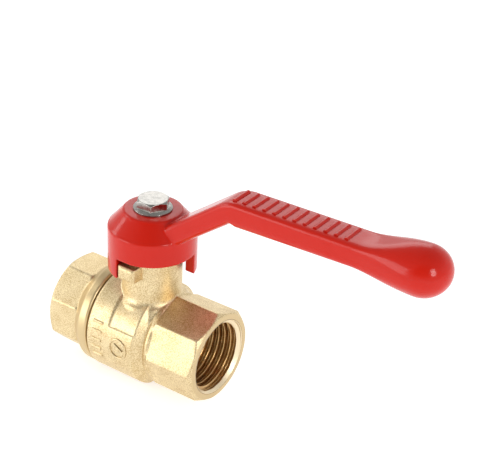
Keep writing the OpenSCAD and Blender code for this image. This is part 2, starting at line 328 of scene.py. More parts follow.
@dataclass(frozen=True)
class ForgedBrass:
    """Shot-blasted forged brass with turned faces and collars.

    Attributes:
        deep: Colour of the grain's hollows.
        pale: Colour of the grain's tops.
        painted_shade: Colour of the painted shade in the corners.
        line: Colour of the painted shade line round the countersink.
        grain: Size of the blasted grain in metres.
        mouth: Radius of the countersink in the end faces, in metres.
        faces: x positions of the turned end faces.
        collars: x ranges that are turned on a lathe.
    """

    deep: Colour = (0.51, 0.345, 0.14)
    pale: Colour = (0.97, 0.84, 0.55)
    painted_shade: Colour = (0.30, 0.17, 0.06)
    line: Colour = (0.25, 0.13, 0.045)
    grain: float = 0.26 * MM
    mouth: float = 10.72 * MM
    faces: tuple[float, ...] = ()
    collars: tuple[Point2, ...] = ()

    def build(self, name: str) -> Material:
        """Make the material.

        Args:
            name: Its name.

        Returns:
            The material.
        """
        tree = Surface(name)
        x, y, z = tree.split(tree.place)
        radius = (y * y + z * z).root()
        grain = tree.noise(self.grain, 3.0, 0.6)
        blotch = tree.noise(4 * MM, 4.0, 0.6)
        pits = tree.cells(0.55 * MM).step(0.0, 0.35)
        turned = 0 * x
        for face in self.faces:
            turned = turned.higher(abs(x - face).step(0.12 * MM, 0.04 * MM))
        for low, high in self.collars:
            turned = turned.higher(x.step(low, low + 0.3 * MM) * x.step(high, high - 0.3 * MM))
        lines = ((x + radius) * (TAU / (0.16 * MM)) + blotch * 3).sin() * 0.5 + 0.5
        edge = tree.edges(0.45 * MM)
        corner = tree.hollows(2.2 * MM).step(0.25, 0.85)
        tone = (0.5 + (grain - 0.5) * 1.9 + (blotch - 0.5) * 0.5 - (1 - pits) * 0.25).step(0.0, 1.0)
        tone = tone.blend(0.26 + lines * 0.2, turned)
        tone = (tone + edge * 0.35).lower(1.0)
        colour = tree.mix(self.deep, self.pale, tone)
        # Painted shade: the corner colour is mixed in where ambient occlusion finds hollows.
        colour = tree.mix(self.painted_shade, colour, 0.5 + corner * 0.5)
        # Painted shade: a thin dark line along the countersink's edge on the turned faces.
        rim_shade = abs(radius - self.mouth).step(0.16 * MM, 0.05 * MM) * turned
        colour = tree.mix(colour, self.line, rim_shade * 0.8)
        rough = (0.43 + (grain - 0.5) * 0.35 - edge * 0.08).blend(0.34 + lines * 0.06, turned)
        relief = (grain * 0.6 + pits * 0.4).blend(0.5 + lines * 0.12, turned)
        normal = tree.bump(relief, 0.055 * MM, tree.rounded(0.4 * MM))
        return tree.finish(Base_Color=colour, Roughness=rough, Metallic=1.0, Normal=normal)


@dataclass(frozen=True)
class TurnedBrass:
    """Brass cut on a lathe, with fine tool lines.

    Attributes:
        deep: Colour of the tool lines.
        pale: Colour between them.
        painted_shade: Colour of the painted shade in the hollows.
        fresh: Deep and pale colour next to the end faces.
        marks: Which way the tool lines run.
        rough: Roughness between the lines.
        shade: How dark the hollows go, from 0 to 1.
        mouths: x positions of end faces, next to which the brass is pale.
    """

    deep: Colour = (0.60, 0.40, 0.17)
    pale: Colour = (0.90, 0.70, 0.38)
    painted_shade: Colour = (0.22, 0.11, 0.035)
    fresh: tuple[Colour, Colour] = ((0.80, 0.64, 0.40), (0.98, 0.86, 0.62))
    marks: Turned = Turned.ALONG
    rough: float = 0.22
    shade: float = 0.6
    mouths: tuple[float, ...] = ()

    def build(self, name: str) -> Material:
        """Make the material.

        Args:
            name: Its name.

        Returns:
            The material.
        """
        tree = Surface(name)
        x, _, z = tree.split(tree.place)
        stain = tree.noise(2.5 * MM, 4.0, 0.6)
        fine = tree.noise(0.12 * MM, 2.0, 0.5)
        run = {Turned.ALONG: x, Turned.ACROSS: z}[self.marks]
        lines = (run * (TAU / (0.14 * MM)) + stain * 4).sin() * 0.5 + 0.5
        edge = tree.edges(0.2 * MM)
        open_ = tree.hollows(1.6 * MM).step(0.15, 0.95)
        tone = (lines * 0.35 + fine * 0.3 + stain * 0.45 + edge * 0.4).lower(1.0)
        colour = tree.mix(self.deep, self.pale, tone)
        # Painted shade: the hollow colour is mixed in where ambient occlusion finds hollows.
        colour = tree.mix(self.painted_shade, colour, 1 - (1 - open_) * self.shade)
        pale = 0 * x
        for face in self.mouths:
            pale = pale.higher(abs(x - face).step(1.5 * MM, 1.3 * MM))
        fresh = tree.mix(*self.fresh, lines * 0.5 + stain * 0.5)
        colour = tree.mix(colour, fresh, pale)
        rough = self.rough + stain * 0.12 + lines * 0.05 + pale * 0.12
        normal = tree.bump(lines * 0.4 + fine * 0.6, 0.012 * MM, tree.rounded(0.12 * MM))
        return tree.finish(Base_Color=colour, Roughness=rough, Metallic=1.0, Normal=normal)


@dataclass(frozen=True)
class Enamel:
    """Thick glossy enamel baked on a casting.

    Attributes:
        deep: Colour of the painted shade in the corners, also mixed in a little by the drift.
        body: Colour of the open faces.
        thin: Colour where the coat thins on edges.
    """

    deep: Colour = (0.38, 0.004, 0.003)
    body: Colour = (0.59, 0.012, 0.003)
    thin: Colour = (0.82, 0.05, 0.022)

    def build(self, name: str) -> Material:
        """Make the material.

        Args:
            name: Its name.

        Returns:
            The material.
        """
        tree = Surface(name)
        drift = tree.noise(9 * MM, 3.0, 0.5)
        peel = tree.noise(1.3 * MM, 2.0, 0.45)
        dust = tree.noise(0.22 * MM, 2.0, 0.5)
        edge = tree.edges(0.55 * MM)
        open_ = tree.hollows(2.4 * MM).step(0.3, 0.95)
        # Painted shade: the deep colour goes into the corners where ambient occlusion finds
        # hollows.
        colour = tree.mix(self.deep, self.body, (open_ * 0.85 + drift * 0.3).lower(1.0))
        colour = tree.mix(colour, self.thin, edge * (0.25 + drift * 0.5))
        rough = 0.2 + (drift - 0.5) * 0.1 + (1 - open_) * 0.15 + (dust - 0.5) * 0.05
        normal = tree.bump(peel * 0.85 + dust * 0.15, 0.035 * MM, tree.rounded(0.3 * MM))
        return tree.finish(
            Base_Color=colour,
            Roughness=rough,
            Metallic=0.0,
            Coat_Weight=0.2 + (drift - 0.5) * 0.15,
            Coat_Roughness=0.07,
            Specular_IOR_Level=0.2,
            Normal=normal,
        )


@dataclass(frozen=True)
class PlatedSteel:
    """Bright plated steel.

    Attributes:
        dark: Colour of the stains.
        bright: Colour of the clean plating.
        painted_shade: Colour of the painted shade in the corners.
        rough: Roughness of the clean plating.
    """

    dark: Colour = (0.17, 0.168, 0.162)
    bright: Colour = (0.44, 0.425, 0.395)
    painted_shade: Colour = (0.12, 0.11, 0.10)
    rough: float = 0.2

    def build(self, name: str) -> Material:
        """Make the material.

        Args:
            name: Its name.

        Returns:
            The material.
        """
        tree = Surface(name)
        stain = tree.noise(1.4 * MM, 4.0, 0.65)
        fine = tree.noise(0.15 * MM, 3.0, 0.55)
        edge = tree.edges(0.2 * MM)
        open_ = tree.hollows(1.2 * MM).step(0.2, 0.9)
        tone = ((stain - 0.5) * 1.6 + 0.72 + (fine - 0.5) * 0.5 + edge * 0.3).step(0.0, 1.0)
        colour = tree.mix(self.dark, self.bright, tone)
        # Painted shade: the corner colour is mixed in where ambient occlusion finds hollows.
        colour = tree.mix(self.painted_shade, colour, 0.3 + open_ * 0.7)
        rough = self.rough + (stain - 0.5) * 0.2 + (1 - open_) * 0.2
        normal = tree.bump(stain * 0.5 + fine * 0.5, 0.02 * MM, tree.rounded(0.16 * MM))
        return tree.finish(Base_Color=colour, Roughness=rough, Metallic=1.0, Normal=normal)


@dataclass(frozen=True)
class SeatPlastic:
    """White machined fluoroplastic.

    Attributes:
        shade: Colour of the tool marks.
        white: Colour between them.
    """

    shade: Colour = (0.72, 0.71, 0.67)
    white: Colour = (0.88, 0.88, 0.86)

    def build(self, name: str) -> Material:
        """Make the material.

        Args:
            name: Its name.

        Returns:
            The material.
        """
        tree = Surface(name)
        x, y, z = tree.split(tree.place)
        stain = tree.noise(1.8 * MM, 3.0, 0.5)
        lines = (((y * y + z * z).root() + x) * (TAU / (0.2 * MM))).sin() * 0.5 + 0.5
        tone = (stain * 0.7 + lines * 0.3 + tree.edges(0.2 * MM) * 0.3).lower(1.0)
        colour = tree.mix(self.shade, self.white, tone)
        normal = tree.bump(lines, 0.008 * MM, tree.rounded(0.15 * MM))
        rough = 0.42 + stain * 0.15
        return tree.finish(Base_Color=colour, Roughness=rough, Metallic=0.0, Normal=normal)


# ---- Mesh helpers ----


def new_object(name: str, data: bpy.types.ID) -> Obj:
    """Link an object.

    Args:
        name: The object's name.
        data: Its mesh, light or camera.

    Returns:
        The object.
    """
    obj = bpy.data.objects.new(name, data)
    bpy.context.scene.collection.objects.link(obj)
    return obj


def cleaned(
    source: Mesh, target: Mesh, merge: float = 0.0, outward: bool = True
) -> None:
    """Weld near corners of a mesh and turn its faces outwards.

    Args:
        source: The mesh that is read.
        target: The mesh that is written, which may be the same.
        merge: How near corners are to be welded, in metres, or 0 for none.
        outward: Whether the faces are turned.
    """
    shape = bmesh.new()
    shape.from_mesh(source)
    if merge:
        bmesh.ops.remove_doubles(shape, verts=shape.verts, dist=merge)
    if outward:
        bmesh.ops.recalc_face_normals(shape, faces=shape.faces)
    shape.to_mesh(target)
    shape.free()


def mesh_of(name: str, points: Sequence[Point3], faces: Sequence[Sequence[int]]) -> Mesh:
    """Make a mesh with its faces pointing outwards.

    Args:
        name: The mesh's name.
        points: Corners in millimetres.
        faces: Corner numbers of each face.

    Returns:
        The mesh, in metres.
    """
    mesh = bpy.data.meshes.new(name)
    mesh.from_pydata([tuple(c * MM for c in p) for p in points], [], [list(f) for f in faces])
    cleaned(mesh, mesh, merge=0.001 * MM)
    return mesh


def revolved(name: str, profile: Sequence[Point2], place: Place, sides: int = 128) -> Mesh:
    """Turn a closed outline round an axis.

    Args:
        name: The mesh's name.
        profile: Corners as (radius, height) in millimetres.
        place: Gives the point for a radius, a height and an angle.
        sides: Steps round the axis.

    Returns:
        The mesh.
    """
    count = len(profile)
    points = [place(r, h, TAU * i / sides) for i in range(sides) for r, h in profile]
    faces = []
    for i in range(sides):
        for j in range(count):
            k = (j + 1) % count
            low, high = i * count, (i + 1) % sides * count
            corners = [low + j, high + j, high + k, low + k]
            if profile[j][0] == 0 and profile[k][0] == 0:
                continue
            if profile[j][0] == 0:
                corners = [low + j, high + k, low + k]
            elif profile[k][0] == 0:
                corners = [low + j, high + j, low + k]
            faces.append(corners)
    return mesh_of(name, points, faces)


def extruded(
    name: str, outline: Sequence[Point2], low: float, high: float, place: Place
) -> Mesh:
    """Raise an outline into a solid.

    Args:
        name: The mesh's name.
        outline: Corners in millimetres, in order.
        low: Bottom height.
        high: Top height.
        place: Gives the point for the two outline values and the height.

    Returns:
        The mesh.
    """
    count = len(outline)
    points = [place(u, v, h) for h in (low, high) for u, v in outline]
    faces = [[i, (i + 1) % count, count + (i + 1) % count, count + i] for i in range(count)]
    faces += [list(range(count)), list(range(count, 2 * count))]
    return mesh_of(name, points, faces)


def joined(name: str, meshes: Sequence[Mesh]) -> Mesh:
    """Put several meshes in one.

    Args:
        name: The new mesh's name.
        meshes: The meshes, which are removed.

    Returns:
        The new mesh.
    """
    shape = bmesh.new()
    for mesh in meshes:
        shape.from_mesh(mesh)
        bpy.data.meshes.remove(mesh)
    result = bpy.data.meshes.new(name)
    shape.to_mesh(result)
    shape.free()
    return result


def settled(obj: Obj) -> Obj:
    """Turn an object with modifiers into one with a plain mesh.

    Args:
        obj: The object, which is removed.

    Returns:
        The new object, under the same name.
    """
    name = obj.name
    bpy.context.view_layer.update()
    shown = obj.evaluated_get(bpy.context.evaluated_depsgraph_get())
    mesh = bpy.data.meshes.new_from_object(shown)
    bpy.data.objects.remove(obj)
    mesh.name = name
    return new_object(name, mesh)


def carved(obj: Obj, cutters: Sequence[Mesh]) -> Obj:
    """Cut solids out of an object.

    Args:
        obj: The object, which is removed.
        cutters: The solids' meshes, which are removed.

    Returns:
        The new object.
    """
    tools = [new_object("cutter", mesh) for mesh in cutters]
    for tool in tools:
        modifier = obj.modifiers.new("cut", "BOOLEAN")
        modifier.operation = "DIFFERENCE"
        modifier.solver = "EXACT"
        modifier.object = tool
    result = settled(obj)
    for tool in tools:
        bpy.data.meshes.remove(tool.data)
    return result


def softened(obj: Obj, voxel: float, rounds: int) -> Obj:
    """Melt overlapping solids into one cast skin with soft edges.

    Args:
        obj: The object, which is removed.
        voxel: Size of the skin's faces in metres.
        rounds: How many times the skin is smoothed.

    Returns:
        The new object.
    """
    melt = obj.modifiers.new("melt", "REMESH")
    melt.mode = "VOXEL"
    melt.voxel_size = voxel
    melt.use_smooth_shade = True
    smooth = obj.modifiers.new("smooth", "SMOOTH")
    smooth.factor = 0.5
    smooth.iterations = rounds
    skin = settled(obj)
    triangles = sum(len(face.vertices) - 2 for face in skin.data.polygons)
    if triangles > MOST_TRIANGLES:
        thin = skin.modifiers.new("thin", "DECIMATE")
        thin.ratio = MOST_TRIANGLES / triangles
        skin = settled(skin)
    return skin


def shaded(mesh: Mesh, angle: float) -> None:
    """Shade a mesh smoothly, apart from edges sharper than an angle in degrees."""
    mesh.shade_smooth()
    mesh.set_sharp_from_angle(angle=radians(angle))


def dressed(
    obj: Obj,
    material: Material,
    body: str,
    slot: str,
    stands_for: Sequence[str] = (),
) -> None:
    """Give a finished piece its material and its place in the frame.

    Args:
        obj: The piece.
        material: Its finish.
        body: The body that it rides on.
        slot: The record's material slot; not used.
        stands_for: CAD nodes that it replaces.
    """
    obj.data.materials.clear()
    obj.data.materials.append(material)
    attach(obj, body)
    if stands_for:
        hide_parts(*stands_for)
    LOG.info("%s: %d faces, rides on %s", obj.name, len(obj.data.polygons), body)


class GeometryTree(NodeKit):
    """Builder of a Geometry Nodes tree with named inputs."""

    def __init__(self, name: str, inputs: Mapping[str, float]) -> None:
        """Make a named tree with one input for each size."""
        super().__init__(bpy.data.node_groups.new(name, "GeometryNodeTree"))
        self.values = dict(inputs)
        face = self.tree.interface
        kind = {"in_out": "INPUT", "socket_type": "NodeSocketFloat"}
        self.sockets = {key: face.new_socket(key, **kind) for key in inputs}
        face.new_socket("Geometry", in_out="OUTPUT", socket_type="NodeSocketGeometry")
        self.entry = self.add("NodeGroupInput")

    def size(self, name: str) -> Wire:
        """The wire of a named input."""
        return Wire(self, self.entry.outputs[name])

    def vector(self, x: Any, y: Any, z: Any) -> Wire:
        """A vector from three values."""
        return self.out("ShaderNodeCombineXYZ", 0, None, {0: x, 1: y, 2: z})

    def node(self, kind: str, **sockets: Any) -> Wire:
        """First output of a new geometry node; underscores stand for spaces."""
        return self.out("GeometryNode" + kind, 0, None, spaced(sockets))

    def line(self, start: Wire, end: Wire, count: int) -> Wire:
        """A straight curve of a number of points."""
        curve = self.node("CurvePrimitiveLine", Start=start, End=end)
        return self.node("ResampleCurve", Curve=curve, Count=count)

    def bar(self, curve: Wire, radius: Wire, sides: int) -> Wire:
        """A closed round bar along a curve."""
        ring = self.node("CurvePrimitiveCircle", Resolution=sides, Radius=radius)
        return self.node("CurveToMesh", Curve=curve, Profile_Curve=ring, Fill_Caps=True)

    def row(self, piece: Wire, count: int, place: Callable[[Wire], Wire]) -> Wire:
        """Copies of a piece.

        Args:
            piece: What is copied.
            count: How many copies there are.
            place: Gives a copy's place for its number.

        Returns:
            The copies.
        """
        spots = self.node("MeshLine", Count=count)
        moved = self.node("SetPosition", Geometry=spots, Position=place(self.node("InputIndex")))
        return self.node("InstanceOnPoints", Points=moved, Instance=piece)

    def made(self, name: str, geometry: Wire, material: Material) -> Obj:
        """Run the tree.

        Args:
            name: The new object's name.
            geometry: What the tree makes.
            material: The material that it sets.

        Returns:
            An object with a plain mesh.
        """
        whole = self.node("RealizeInstances", Geometry=geometry)
        merged = self.node("MergeByDistance", Geometry=whole, Distance=0.002 * MM)
        painted = self.node("SetMaterial", Geometry=merged, Material=material)
        self.add("NodeGroupOutput", None, {0: painted})
        obj = new_object(name, bpy.data.meshes.new(name))
        modifier = obj.modifiers.new(name, "NODES")
        modifier.node_group = self.tree
        for key, socket in self.sockets.items():
            modifier[socket.identifier] = self.values[key]
        return settled(obj)


# ---- Sub-assemblies ----


@dataclass
class PipePort:
    """One female pipe thread: a lining with a helical thread, a countersunk mouth and a run-out.

    Attributes:
        name: Name of the lining.
        face: x of the end face in metres.
        inward: +1 when the port goes towards +X, else -1.
        crest, root: Radius at the thread's crests and at its roots, in metres.
        mouth: Radius of the countersink at the face, in metres.
        depth, pitch: Depth of the port and distance between crests, in metres.
    """

    name: str
    face: float
    inward: int
    crest: float = 9.3 * MM
    root: float = 10.48 * MM
    mouth: float = 10.7 * MM
    depth: float = 11.98 * MM
    pitch: float = 2.0 * MM

    def cutter(self) -> Mesh:
        """The plug that clears the room for the lining."""
        ends = (self.face - self.inward * MM, self.face + self.inward * (self.depth + 0.02 * MM))
        low, high = sorted(ends)
        radius = self.mouth / MM
        return revolved(
            self.name + "_cutter",
            [(0, low / MM), (radius, low / MM), (radius, high / MM), (0, high / MM)],
            lambda r, h, a: (h, r * cos(a), r * sin(a)),
            sides=192,
        )

    def lining(self, material: Material) -> Obj:
        """Sweep the thread with Geometry Nodes.

        Args:
            material: The finish of the cut brass.

        Returns:
            The lining.
        """
        rows, around = 120, 145
        names = ("crest", "root", "mouth", "depth", "pitch")
        sizes = {name.title(): getattr(self, name) for name in names}
        tree = GeometryTree(self.name + "_tree", sizes)
        grid = tree.node("MeshGrid", Size_X=1.0, Size_Y=1.0, Vertices_X=around, Vertices_Y=rows)
        left, ahead, _ = tree.split(tree.node("InputPosition"))
        turn, along = left + 0.5, ahead + 0.5
        last = 1 / (rows - 1)
        back = along > 1 - 1.5 * last
        depth = tree.size("Depth")
        inner = along / (1 - 2 * last) * depth
        outer = (1 - along) / last * depth
        down = inner.blend(outer, back)
        wave = abs((down / tree.size("Pitch") + turn * self.inward).fraction() * 2 - 1)
        tooth = wave.step(0.04, 0.62)
        fade = (down / depth).step(0.97, 0.82)
        thread = tree.size("Crest") + (tree.size("Root") - tree.size("Crest")) * tooth * fade
        thread = thread.higher(tree.size("Mouth") - down)
        radius = thread.blend(tree.size("Mouth"), back)
        angle = turn * TAU
        x = self.face + down * self.inward
        spot = tree.vector(x, radius * angle.cos(), radius * angle.sin())
        swept = tree.node("SetPosition", Geometry=grid, Position=spot)
        obj = tree.made(self.name, swept, material)
        cleaned(obj.data, obj.data)
        shaded(obj.data, 50)
        return obj


@dataclass
class ForgedBody:
    """A brass body of the valve: the CAD solid with its port opened for a real thread.

    Attributes:
        node, name, slot: CAD node that it stands for, its own name and its material slot.
        port: Its threaded port.
        finish: Finish of the forging.
        rounds: How soft its edges are.
    """

    node: str
    name: str
    slot: str
    port: PipePort
    finish: ForgedBrass
    rounds: int = 8

    def make(self, thread: Material) -> None:
        """Build and dress the body and the lining of its port.

        Args:
            thread: The finish of the cut thread.
        """
        mesh = bpy.data.meshes.new(self.name)
        cleaned(bpy.data.objects[self.node].data, mesh, merge=0.0005 * MM, outward=False)
        skin = softened(new_object(self.name, mesh), 0.2 * MM, self.rounds)
        obj = carved(skin, [self.port.cutter()])
        shaded(obj.data, 60)
        dressed(obj, self.finish.build(self.name + "_finish"), "valve", self.slot, [self.node])
        dressed(self.port.lining(thread), thread, "valve", self.slot)


@dataclass
class CastMarks:
    """Plain raised marks on the drum: five short bars and a triangle in a ring.

    Attributes:
        radius: Radius of the drum in metres.
        bars_x, ring_x: x of the middle of the bars and of the ring, in metres.
        bar_count: How many bars there are.
        bar_len, bar_r, bar_sunk: Length, radius and depth of a bar's middle, in metres.
        first_bar, bar_step: Angle of the first bar and angle to the next, in degrees.
        ring_angle: Angle of the ring above the horizontal, in degrees.
        ring_r, band, bevel: Radius, width and bevels of the ring, in millimetres.
        height, sunk: How far ring and triangle stand out and reach in, in millimetres.
    """

    radius: float
    bars_x: float
    ring_x: float
    bar_count: int = 5
    bar_len: float = 3.3 * MM
    bar_r: float = 0.42 * MM
    bar_sunk: float = 0.1 * MM
    first_bar: float = 23.0
    bar_step: float = 10.0
    ring_angle: float = 2.0
    ring_r: float = 3.1
    band: float = 0.64
    bevel: float = 0.14
    height: float = 0.32
    sunk: float = 0.3

    def bars(self, material: Material) -> Obj:
        """Set the bars round the drum with Geometry Nodes.

        Args:
            material: The finish of the forging.

        Returns:
            The bars.
        """
        sizes = {
            "Drum": self.radius,
            "Length": self.bar_len,
            "Thickness": self.bar_r,
            "Middle": self.bars_x,
        }
        tree = GeometryTree("bars_tree", sizes)
        half = tree.size("Length") * 0.5
        path = tree.line(tree.vector(half * -1, 0, 0), tree.vector(half, 0, 0), 9)
        reach = tree.size("Drum") - self.bar_sunk

        def place(number: Wire) -> Wire:
            """Place of a bar's middle for its number."""
            angle = radians(self.first_bar) - number * radians(self.bar_step)
            return tree.vector(tree.size("Middle"), angle.cos() * reach * -1, angle.sin() * reach)

        bar = tree.bar(path, tree.size("Thickness"), 16)
        obj = tree.made("cast_bars", tree.row(bar, self.bar_count, place), material)
        shaded(obj.data, 50)
        return obj

    def emblem(self) -> Obj:
        """Raise the ring and the triangle out of the drum.

        Returns:
            The marks.
        """
        reach = self.radius / MM
        middle = radians(self.ring_angle)
        steps = 48

        def on_drum(u: float, v: float, height: float) -> Point3:
            """Point on the drum for a place along it, round it and above it."""
            angle = middle + v / reach
            out = reach + height
            return self.ring_x / MM + u, -out * cos(angle), out * sin(angle)

        low, top, shoulder = -self.sunk, self.height, self.height - self.bevel
        half = [(0.0, low), (0.0, shoulder), (self.bevel, top)]
        section = half + [(self.band - d, h) for d, h in reversed(half)]
        points = []
        for i in range(steps):
            c, n = cos(TAU * i / steps), sin(TAU * i / steps)
            points += [on_drum(c * (self.ring_r - d), n * (self.ring_r - d), h) for d, h in section]
        faces = []
        for i in range(steps):
            for j in range(len(section)):
                a, b, k = i * len(section), (i + 1) % steps * len(section), (j + 1) % len(section)
                faces.append([a + j, b + j, b + k, a + k])
        ring = mesh_of("ring", points, faces)
        outline = [(-1.15, 1.5), (1.85, 0.0), (-1.15, -1.5)]
        triangle = extruded("triangle", outline, low, top, on_drum)
        return new_object("cast_arrow", joined("cast_arrow", [ring, triangle]))

    def make(self, finish: ForgedBrass) -> None:
        """Build and dress the marks.

        Args:
            finish: The finish of the forging.
        """
        material = finish.build("cast_marks_finish")
        dressed(self.bars(material), material, "valve", "body_brass")
        obj = self.emblem()
        shaded(obj.data, 35)
        dressed(obj, material, "valve", "body_brass")


@dataclass
class LeverHandle:
    """The enamelled lever: a hollow cap with two stop legs and a cranked arm that ends in a grip.

    Lengths are in millimetres, angles in degrees, and heights count from the valve's axis.

    Attributes:
        stem_x: x of the stem's axis.
        skirt_z: Height of the skirt's lower edge.
        tip_x: x of the grip's tip.
        cap_r, wall, top_r: Radius of the cap, its wall, and the radius of its flat top.
        rim_round, top_round: Width and height of the roundings of the rim and the top's edge.
        skirt_h, cone_h: Heights of the skirt and of the cone above it.
        hub_up, hub_bevel: Height of the hub above the skirt's edge, and the bevel round it.
        leg_drop, leg_wall, leg_root: How far the legs hang below the skirt's edge, their
            thickness, and how far they reach above the edge.
        open_edge, shut_edge: Distances of the legs' ends from the axes across the stem.
        arm_w, arm_t: Width and thickness of the arm.
        root_x, root_drop: Start of the arm: distance from the stem and depth below the cap's top.
        root_flare, root_len: How much wider the arm starts, and how soon that ends.
        slope, bend_r: Slope of the arm's rising part and radius of the bend above it.
        rise: Height of the arm's top above the cap's.
        belly: How much the arm's underside hangs after the bend.
        grip_w, grip_t, grip_len, grip_lift: Size of the grip, and how much its middle is lifted.
        tip_len: Length of the grip's round end.
        climb: How much the arm's top climbs towards the grip.
        ribs, first_rib, rib_end: Number of ribs, the first one's place, and the room after them.
        rib_short, rib_thick, rib_sunk: How much narrower than the arm the ribs are, their
            radius, and how deep their middle lies below the arm's top.
        bolt_room: Radius that is kept clear for the bolt's flange above the cap.
    """

    stem_x: float
    skirt_z: float
    tip_x: float
    cap_r: float = 12.1
    wall: float = 1.9
    skirt_h: float = 7.0
    cone_h: float = 4.5
    top_r: float = 7.3
    rim_round: Point2 = (0.5, 0.6)
    top_round: Point2 = (0.9, 0.5)
    hub_up: float = 6.0
    hub_bevel: float = 1.5
    leg_drop: float = 6.1
    leg_wall: float = 2.8
    leg_root: float = 0.8
    open_edge: float = 2.95
    shut_edge: float = 3.05
    arm_w: float = 10.2
    arm_t: float = 6.0
    root_x: float = 4.0
    root_drop: float = 7.6
    root_flare: float = 2.8
    root_len: float = 14.0
    slope: float = 37.0
    bend_r: float = 7.0
    rise: float = 12.9
    belly: float = 1.5
    grip_w: float = 14.6
    grip_t: float = 12.8
    grip_len: float = 24.0
    grip_lift: float = 1.2
    tip_len: float = 7.0
    climb: float = 0.8
    ribs: int = 12
    first_rib: float = -1.6
    rib_end: float = 2.3
    rib_short: float = 4.0
    rib_thick: float = 0.7
    rib_sunk: float = 0.22
    bolt_room: float = 6.25

    def __post_init__(self) -> None:
        """Work out the arm's path."""
        self.rim_z = self.skirt_z + self.skirt_h
        self.top_z = self.rim_z + self.cone_h
        self.hub_z = self.skirt_z + self.hub_up
        self.level = self.top_z + self.rise - self.arm_t / 2
        self.root_z = self.top_z - self.root_drop
        tilt = radians(self.slope)
        self.bend_len = self.bend_r * tilt
        bend_h = self.bend_r * (1 - cos(tilt))
        self.slope_len = (self.level - self.root_z - bend_h) / sin(tilt)
        self.bend_x = self.root_x + self.slope_len * cos(tilt)
        self.level_x = self.bend_x + self.bend_r * sin(tilt)
        self.level_len = self.tip_x - self.stem_x - self.level_x
        self.path = self.slope_len + self.bend_len + self.level_len
        self.swell_at = self.path - self.grip_len
        self.widest_at = self.path - self.tip_len

    def _round_stem(self, r: float, h: float, angle: float) -> Point3:
        """Point for a radius, a height and an angle about the stem."""
        return (self.stem_x + r * cos(angle), r * sin(angle), h)

    def cap(self) -> Mesh:
        """The hollow cap with a rounded rim and a domed edge to its flat top."""

        def arc(corner: Point2, size: Point2, angles: Sequence[int]) -> list[Point2]:
            """Points of a quarter ellipse of a size that rounds a corner."""
            r, h = corner[0] - size[0], corner[1] - size[1]
            turns = [radians(a) for a in angles]
            return [(r + size[0] * cos(a), h + size[1] * sin(a)) for a in turns]

        rim = arc((self.cap_r, self.rim_z), self.rim_round, (0, 25, 50, 75))
        brow = arc((self.top_r + self.top_round[0], self.top_z), self.top_round, (0, 30, 60, 90))
        profile = [*reversed(self.hollow()), (self.cap_r, self.skirt_z), *rim, *brow]
        return revolved("cap", [*profile, (0, self.top_z)], self._round_stem, sides=160)

    def hollow(self) -> list[Point2]:
        """Outline of the cap's hollow, from the skirt's edge up to the hub."""
        inner, bevel = self.cap_r - self.wall, self.hub_bevel
        edge = [(inner, self.skirt_z), (inner, self.hub_z - bevel)]
        return [*edge, (inner - bevel, self.hub_z), (0, self.hub_z)]

    def leg(self, turned: float, near: float) -> Mesh:
        """One stop leg.

        Args:
            turned: Its turn about the stem in degrees.
            near: How far its first end keeps from the axis that it starts at.

        Returns:
            The leg.
        """
        outer, inner = self.cap_r, self.cap_r - self.leg_wall
        sweep = []
        for radius, order in ((outer, 1), (inner, -1)):
            start, end = asin(near / radius), pi / 2 - asin(self.open_edge / radius)
            steps = [start + (end - start) * i / 24 for i in range(25)]
            sweep += [(radius, a + radians(turned)) for a in steps[::order]]
        low, high = self.skirt_z - self.leg_drop, self.skirt_z + self.leg_root
        return extruded("leg", sweep, low, high, lambda r, a, h: self._round_stem(r, h, a))

    def centre(self, s: float) -> tuple[float, float, float]:
        """Place and slope of the arm's centre line.

        Args:
            s: Distance along the line.

        Returns:
            x from the stem, z, and the slope in radians.
        """
        tilt = radians(self.slope)
        if s < self.slope_len:
            return self.root_x + s * cos(tilt), self.root_z + s * sin(tilt), tilt
        if s < self.slope_len + self.bend_len:
            a = tilt * (1 - (s - self.slope_len) / self.bend_len)
            x = self.bend_x + self.bend_r * (sin(tilt) - sin(a))
            return x, self.level - self.bend_r * (1 - cos(a)), a
        return self.level_x + s - self.slope_len - self.bend_len, self.level, 0.0

    @staticmethod
    def ease(t: float) -> float:
        """Smooth rise from 0 to 1."""
        u = min(1.0, max(0.0, t))
        return u * u * (3 - 2 * u)

    def ring(self, s: float, sides: int) -> list[Point3]:
        """One cross-section of the arm.

        Args:
            s: Distance along the arm.
            sides: Corners of the section.

        Returns:
            The corners.
        """
        x, z, a = self.centre(s)
        k = self.ease((s - self.swell_at) / (self.widest_at - self.swell_at))
        closing = 1.0
        if s > self.widest_at:
            closing = sqrt(max(0.0, 1 - ((s - self.widest_at) / self.tip_len) ** 2))
        flare = self.root_flare * max(0.0, 1 - s / self.root_len) ** 2
        half_w = (self.arm_w + flare + (self.grip_w - self.arm_w) * k) / 2 * closing
        half_t = (self.arm_t + (self.grip_t - self.arm_t) * k) / 2 * closing
        along = (s - self.slope_len) / (self.swell_at - self.slope_len)
        along = min(1.0, max(0.0, along))
        under = self.belly * self.ease((s - self.slope_len) / 4) * (1 - along)
        over = self.climb * along * (1 - k)
        corners = []
        for i in range(sides):
            c, n = cos(TAU * i / sides), sin(TAU * i / sides)
            base = 0.6 if n < 0 else 0.3
            power = base + (1 - base) * k
            y = half_w * copysign(abs(c) ** power, c)
            up = (half_t + (under if n < 0 else over)) * copysign(abs(n) ** power, n)
            up += self.grip_lift * k
            corners.append((self.stem_x + x - up * sin(a), y, z + up * cos(a)))
        return corners

